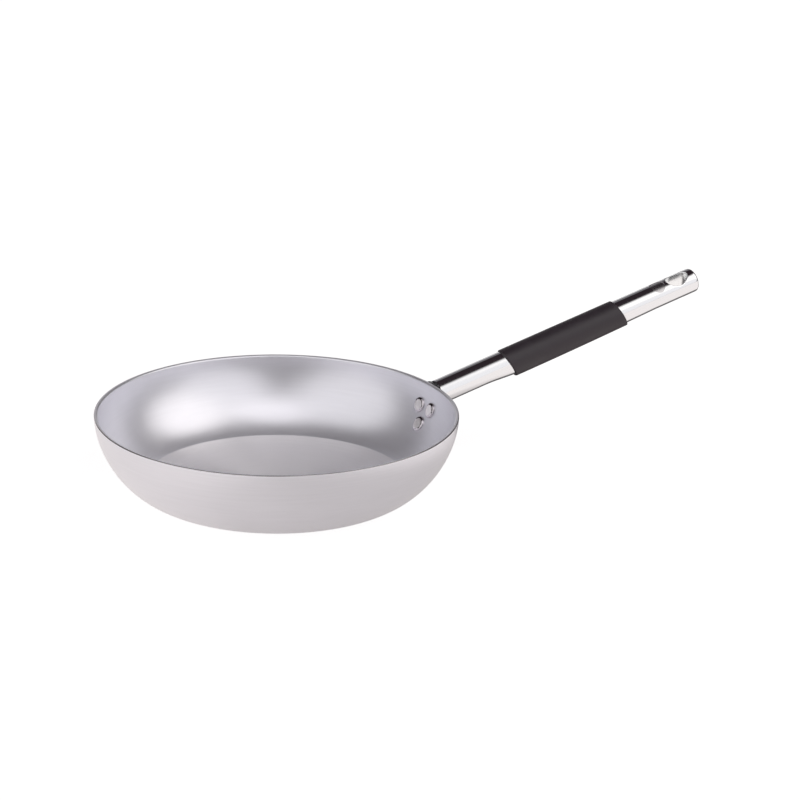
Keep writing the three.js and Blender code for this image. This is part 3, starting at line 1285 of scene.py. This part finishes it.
@dataclass
class GripSleeve:
    """The tight rubber sleeve, thinner on top than below, with slanted ends and eased edges."""

    tube: HandleTube
    start: float = 70.8 * MM
    length: float = 111 * MM
    slant: float = 0.37
    fit: float = 0.1 * MM
    top: float = 1.05 * MM
    side: float = 1.45 * MM
    under: float = 1.9 * MM
    edge_round: float = 0.9 * MM
    edge_steps: int = 4
    sharp: float = math.radians(60)
    sides: int = 128
    steps: int = 60

    def place(self, ring: Ring, turn: float) -> Vector:
        """Places a point of a ring, slanted so that the top of the turned handle is nearer the pan.

        Args:
            ring: The ring's length along the tube and share of the wall's thickness.
            turn: The angle round it.

        Returns:
            The point in the handle's frame.
        """
        along, share = ring
        grow = [self.fit + (wall - self.fit) * share for wall in (self.top, self.side, self.under)]
        point = self.tube.skin(along, turn, *grow)
        tipped = self.tube.axis.turn
        lean = self.slant * (point.z * math.cos(tipped) - point.y * math.sin(tipped))
        return self.tube.skin(along - lean, turn, *grow)

    def build(self) -> Object:
        """Draws the sleeve's outside out, comes back along its bore and eases the ends.

        Returns:
            The sleeve's object.
        """
        spans = [self.start + self.length * step / self.steps for step in range(self.steps + 1)]
        rings = [(along, 1.0) for along in spans] + [(along, 0.0) for along in reversed(spans)]
        shape = bmesh.new()
        loops = draw_out(shape, self.sides, rings, self.place)
        bmesh.ops.bridge_loops(shape, edges=loops[0] + loops[-1])
        round_edges(shape, loops[0] + loops[self.steps], self.edge_round, self.edge_steps)
        bmesh.ops.transform(shape, matrix=self.tube.axis.matrix(), verts=shape.verts)
        return Piece("grip_sleeve_moulded", "grip_sleeve", (RUBBER,), self.sharp).settle(shape)


# Studio


def heading(bearing: float, height: float) -> Vector:
    """Gives a direction.

    Args:
        bearing: The angle from +Y towards +X.
        height: The angle above level.

    Returns:
        The direction in the pan's frame.
    """
    level = math.cos(height)
    return Vector((math.sin(bearing) * level, math.cos(bearing) * level, math.sin(height)))


@dataclass
class Camera:
    """The camera, where the photograph was taken from."""

    target: tuple[float, float, float] = (80.90 * MM, -48.61 * MM, 74.67 * MM)
    distance: float = 2239.26 * MM
    elevation: float = math.radians(19.197)
    roll: float = math.radians(1.036)
    focal_pixels: float = 2920.5
    image_pixels: float = 800.0
    sensor: float = 36.0
    near_clip: float = 0.05
    far_clip: float = 60.0

    def build(self) -> None:
        """Sets the camera and points it at its target."""
        data = bpy.data.cameras.new("camera")
        data.sensor_width = self.sensor
        data.lens = self.focal_pixels / self.image_pixels * self.sensor
        data.clip_start = self.near_clip
        data.clip_end = self.far_clip
        thing = bpy.data.objects.new("camera", data)
        bpy.context.scene.collection.objects.link(thing)
        bpy.context.scene.camera = thing
        ahead = heading(VIEW_BEARING, -self.elevation)
        turn = ahead.to_track_quat("-Z", "Y").to_matrix().to_4x4()
        eye = Vector(self.target) - ahead * self.distance
        thing.matrix_world = Matrix.Translation(eye) @ turn @ Matrix.Rotation(self.roll, 4, "Z")


@dataclass
class Floor:
    """The pale floor, which looks white to the camera and is a bright card in reflections, with painted
    shade cut into the card.
    """

    size: float = 20.0
    drop: float = 0.2 * MM
    colour: Colour = (0.26, 0.25, 0.25, 1.0)
    seen: float = 0.90
    mirrored: float = 0.90
    mirrored_colour: Colour = (1.0, 0.94, 0.91, 1.0)
    # The corner of the card left out behind the handle is painted shadow.
    painted_shadow_corner: tuple[float, float] = (100 * MM, 2 * MM)
    painted_shadow_soft: float = 14 * MM
    # The dimmed strip of the card in front of and beside the pan is painted shade.
    painted_shade_start: tuple[float, float] = (-150 * MM, 70 * MM)
    painted_shade_end: tuple[float, float] = (170 * MM, 250 * MM)
    painted_shade_dim: float = 0.38

    def build(self) -> None:
        """Lays the floor just under the pan."""
        shape = bmesh.new()
        bmesh.ops.create_grid(shape, x_segments=1, y_segments=1, size=self.size)
        bmesh.ops.translate(shape, vec=UP * -self.drop, verts=shape.verts)
        thing = to_object(shape, "floor", self.paint())

    def paint(self) -> Material:
        """Mixes the floor's matt paint, which glows a little to the camera and in reflections.

        Returns:
            The floor's material.
        """
        paint = bpy.data.materials.new("floor_paint")
        paint.use_nodes = True
        paint.node_tree.nodes.clear()
        sheet = NodeSheet(paint.node_tree)
        path = sheet.put("ShaderNodeLightPath")
        gloss = sheet.math("MAXIMUM", path["Is Glossy Ray"], path["Is Transmission Ray"])
        mirrored = sheet.math("MULTIPLY", sheet.math("MULTIPLY", gloss, self.card(sheet)), self.mirrored)
        white = sheet.math("MULTIPLY", path["Is Camera Ray"], self.seen)
        tint = sheet.blend(path["Is Camera Ray"], self.mirrored_colour, WHITE)
        glow = sheet.put("ShaderNodeEmission", tint, sheet.math("ADD", white, mirrored))["Emission"]
        matt = sheet.put("ShaderNodeBsdfDiffuse", self.colour)["BSDF"]
        both = sheet.put("ShaderNodeAddShader", matt, glow)["Shader"]
        sheet.put("ShaderNodeOutputMaterial", both)
        return paint

    def card(self, sheet: NodeSheet) -> NodeSocket:
        """Draws the bright card, which leaves out the corner behind the handle as painted shadow, dark
        where the tube's underside reflects it.

        Args:
            sheet: The floor's nodes.

        Returns:
            The card's mask.
        """
        place = sheet.put("ShaderNodeTexCoord")["Object"]
        sides = sheet.split(place)
        along, across = self.painted_shadow_corner
        beside = sheet.spread(sides["X"], along - self.painted_shadow_soft, along + self.painted_shadow_soft)
        behind = sheet.spread(sides["Y"], across - self.painted_shadow_soft, across + self.painted_shadow_soft)
        card = sheet.math("SUBTRACT", 1.0, sheet.math("MULTIPLY", beside, behind))
        return sheet.math("MULTIPLY", card, self.strip(sheet, place))

    def strip(self, sheet: NodeSheet, place: NodeSocket) -> NodeSocket:
        """Dims a strip of the card that runs away from the camera: painted shade, the pan's own shade on
        the floor as the metal reflects it.

        Args:
            sheet: The floor's nodes.
            place: The floor's coordinates.

        Returns:
            What is left of the card's light.
        """
        right = heading(VIEW_BEARING + RIGHT_ANGLE, 0.0)
        aside = sheet.vector("DOT_PRODUCT", place, right, output="Value")
        begun = sheet.spread(aside, *self.painted_shade_start, 0.0, self.painted_shade_dim)
        ended = sheet.spread(aside, *self.painted_shade_end, 1.0, 0.0)
        return sheet.math("SUBTRACT", 1.0, sheet.math("MULTIPLY", begun, ended))


@dataclass(frozen=True)
class SoftBox:
    """A round soft box of the surround, in degrees as seen from the object with the camera's view ahead."""

    bearing: float
    height: float
    radius: float
    soft: float
    colour: tuple[float, float, float]

    def light(self, sheet: NodeSheet, way: NodeSocket) -> NodeSocket:
        """Draws the box's light.

        Args:
            sheet: The surround's nodes.
            way: The direction's output.

        Returns:
            The light's colour.
        """
        middle = heading(VIEW_BEARING + math.radians(self.bearing), math.radians(self.height))
        toward = sheet.vector("DOT_PRODUCT", way, middle, output="Value")
        rim = math.cos(math.radians(self.radius + self.soft))
        full = math.cos(math.radians(self.radius - self.soft))
        return sheet.vector("MULTIPLY", self.colour, sheet.spread(toward, rim, full))


@dataclass
class Surround:
    """The surround: a dark ceiling, soft boxes and a white background for the camera."""

    ceiling: tuple[float, float, float] = (0.027, 0.019, 0.023)
    boxes: tuple[SoftBox, ...] = (
        SoftBox(bearing=136.0, height=28.0, radius=31.0, soft=2.0, colour=(1.03, 1.01, 1.02)),
        SoftBox(bearing=97.0, height=39.0, radius=25.0, soft=8.0, colour=(1.52, 1.47, 1.44)),
        SoftBox(bearing=176.0, height=61.0, radius=19.0, soft=4.0, colour=(1.36, 1.32, 1.33)),
        SoftBox(bearing=154.0, height=57.0, radius=13.0, soft=4.0, colour=(1.53, 1.49, 1.49)),
        SoftBox(bearing=232.0, height=32.0, radius=35.0, soft=10.0, colour=(0.995, 0.975, 0.98)),
        SoftBox(bearing=347.0, height=-10.5, radius=30.0, soft=3.0, colour=(0.75, 0.73, 0.74)),
        SoftBox(bearing=350.0, height=26.0, radius=19.0, soft=4.0, colour=(0.20, 0.19, 0.20)),
        SoftBox(bearing=0.0, height=-90.0, radius=93.3, soft=3.0, colour=(0.93, 0.91, 0.91)),
    )

    def build(self) -> None:
        """Lights the world; where boxes overlap, the brighter one shows."""
        world = bpy.data.worlds.new("studio")
        bpy.context.scene.world = world
        world.use_nodes = True
        world.node_tree.nodes.clear()
        sheet = NodeSheet(world.node_tree)
        way = sheet.put("ShaderNodeTexCoord")["Generated"]
        total: Given = self.ceiling
        for box in self.boxes:
            total = sheet.vector("MAXIMUM", total, box.light(sheet, way))
        seen = sheet.put("ShaderNodeLightPath")["Is Camera Ray"]
        lights = [sheet.put("ShaderNodeBackground", colour)["Background"] for colour in (total, WHITE)]
        either = sheet.put("ShaderNodeMixShader", seen, *lights)["Shader"]
        sheet.put("ShaderNodeOutputWorld", either)


def main() -> None:
    """Loads the frame and builds the pan, its handle and the studio."""
    logging.basicConfig(level=logging.INFO, format="%(name)s %(message)s")
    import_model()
    bpy.context.scene.view_settings.view_transform = "Standard"
    side = Side()
    axis = HandleAxis(side)
    flange = HandleFlange(axis)
    tube = HandleTube(axis)
    half = flange.rivet_spacing / 2
    PanBody(side).build()
    flange.build()
    Rivet(side, "rivet_upper_left", flange.upper_depth, half).build()
    Rivet(side, "rivet_upper_right", flange.upper_depth, -half).build()
    Rivet(side, "rivet_lower", flange.lower_depth, 0.0).build()
    tube.build()
    GripSleeve(tube).build()
    Camera().build()
    Floor().build()
    Surround().build()


if __name__ == "__main__":
    main()
